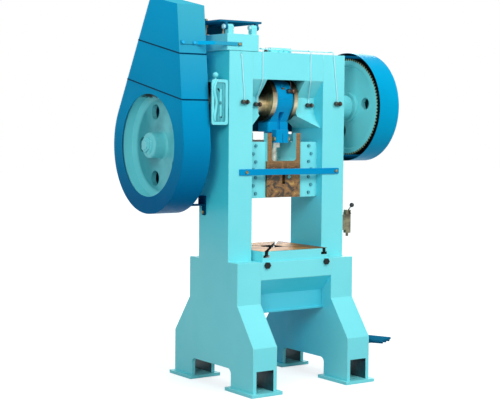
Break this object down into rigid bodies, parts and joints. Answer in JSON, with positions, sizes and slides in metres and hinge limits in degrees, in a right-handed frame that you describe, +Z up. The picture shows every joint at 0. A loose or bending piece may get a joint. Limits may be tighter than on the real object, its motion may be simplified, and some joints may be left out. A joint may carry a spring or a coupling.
{
  "type": "mechanical stamping press",
  "caption": "Straight-sided geared power press with flywheel, crankshaft, connecting rod, guided ram, T-slotted bolster, sheet guards and foot pedal.",
  "frame": {"origin": "on the floor, at the centre of the anchor bolt pattern", "axes": "+Z up, X across the press with the flywheel at -X and the gear at +X, -Y towards the operator"},
  "size_m": [1.544, 1.173, 2.4132],
  "materials": {
    "body_paint": "light aqua gloss enamel on iron castings and plate",
    "guard_paint": "mid blue gloss enamel on sheet",
    "blue_paint": "blue enamel, oily",
    "slide_iron": "machined iron under brown rust-preventing oil",
    "table_iron": "ground iron under tan rust-preventing oil",
    "bright_steel": "turned steel, oiled",
    "dark_steel": "blackened steel",
    "gear_iron": "painted web with greased bare teeth",
    "bronze": "turned bronze",
    "black_knob": "black moulded ball"
  },
  "bodies": {
    "frame": {"back_bearing_brackets": "body_paint", "back_bearing_bushes": "bronze", "bearing_bushes": "bronze", "bed_beam": "body_paint", "belt_guard_back": "guard_paint", "belt_guard_cover": "guard_paint", "bolster_plate": "table_iron", "brake_bands": "dark_steel", "brake_housing": "body_paint", "brake_pins": "body_paint", "crown_beam": "body_paint", "foot_pads": "body_paint", "frame_bolts": "dark_steel", "gear_guard": "guard_paint", "gib_bolts": "dark_steel", "gib_plates": "body_paint", "guard_brackets": "blue_paint", "guard_strap": "guard_paint", "guide_blocks": "body_paint", "hinge_pins": "bright_steel", "left_bearing_housing": "body_paint", "left_upright": "body_paint", "motor_block": "body_paint", "oil_fittings": "dark_steel", "oil_pipes": "body_paint", "oil_pump": "bright_steel", "plate_studs": "bright_steel", "rear_crank_cover": "blue_paint", "right_bearing_housing": "body_paint", "right_upright": "body_paint", "safety_bar": "blue_paint", "trip_brackets": "body_paint"},
    "crank": {"crankshaft": "bright_steel", "clutch_sleeve": "bright_steel", "crank_end_plate": "bright_steel", "brake_drum": "bright_steel"},
    "rod": {"connecting_rod": "blue_paint", "rod_cap": "blue_paint", "rod_cap_bolts": "dark_steel", "rod_bush": "bronze", "adjusting_screw": "bright_steel", "lock_nut": "dark_steel", "clamp_bolt": "dark_steel", "rod_oil_fitting": "dark_steel"},
    "ram": {"ram": "slide_iron", "ball_cover": "slide_iron", "ram_bolts": "dark_steel"},
    "gear": {"crank_gear": "gear_iron", "gear_bush": "bronze"},
    "back_shaft": {"back_shaft": "bright_steel", "flywheel": "body_paint", "flywheel_nut": "dark_steel", "pinion": "gear_iron"},
    "motor_plate": {"motor_plate": "blue_paint"},
    "pedal": {"foot_pedal": "blue_paint"},
    "trip_rod": {"trip_rod": "bright_steel"},
    "trip_lever": {"trip_lever": "dark_steel"},
    "pump_lever": {"pump_lever": "bright_steel", "pump_knob": "black_knob"}
  },
  "joints": [
    {"name": "gear_spin", "type": "hinge", "parent": "frame", "child": "gear", "pos_m": [0.65, 0, 1.752], "axis": [1, 0, 0], "continuous": true},
    {"name": "back_shaft_spin", "type": "hinge", "parent": "frame", "child": "back_shaft", "pos_m": [0, 0.2721, 1.49469], "axis": [1, 0, 0], "continuous": true},
    {"name": "crank_spin", "type": "hinge", "parent": "frame", "child": "crank", "pos_m": [0, 0, 1.752], "axis": [1, 0, 0], "continuous": true},
    {"name": "rod_turn", "type": "hinge", "parent": "crank", "child": "rod", "pos_m": [0, 0, 1.792], "axis": [1, 0, 0], "continuous": true},
    {"name": "ram_slide", "type": "slide", "parent": "frame", "child": "ram", "axis": [0, 0, 1], "range_m": [-0.08, 0]},
    {"name": "motor_plate_tilt", "type": "hinge", "parent": "frame", "child": "motor_plate", "pos_m": [-0.35, -0.148, 2.222], "axis": [1, 0, 0], "range_deg": [0, 2.5]},
    {"name": "pedal_press", "type": "hinge", "parent": "frame", "child": "pedal", "pos_m": [0.47, 0.11, 0.3], "axis": [1, 0, 0], "range_deg": [0, 6]},
    {"name": "trip_rod_slide", "type": "slide", "parent": "frame", "child": "trip_rod", "axis": [0, 0, 1], "range_m": [-0.0105, 0]},
    {"name": "trip_lever_turn", "type": "hinge", "parent": "frame", "child": "trip_lever", "pos_m": [0.47, 0.11, 1.6], "axis": [1, 0, 0], "range_deg": [0, 6.02]},
    {"name": "pump_lever_swing", "type": "hinge", "parent": "frame", "child": "pump_lever", "pos_m": [0.508, -0.14, 1.064], "axis": [1, 0, 0], "range_deg": [-15, 25]}
  ],
  "couplings": [
    {"joint": "back_shaft_spin", "follows": "gear_spin", "ratio": -5.2941},
    {"joint": "rod_turn", "follows": "crank_spin", "ratio": -1},
    {"joint": "trip_rod_slide", "follows": "pedal_press", "m_per_rad": -0.1},
    {"joint": "trip_lever_turn", "follows": "pedal_press", "ratio": 1}
  ]
}
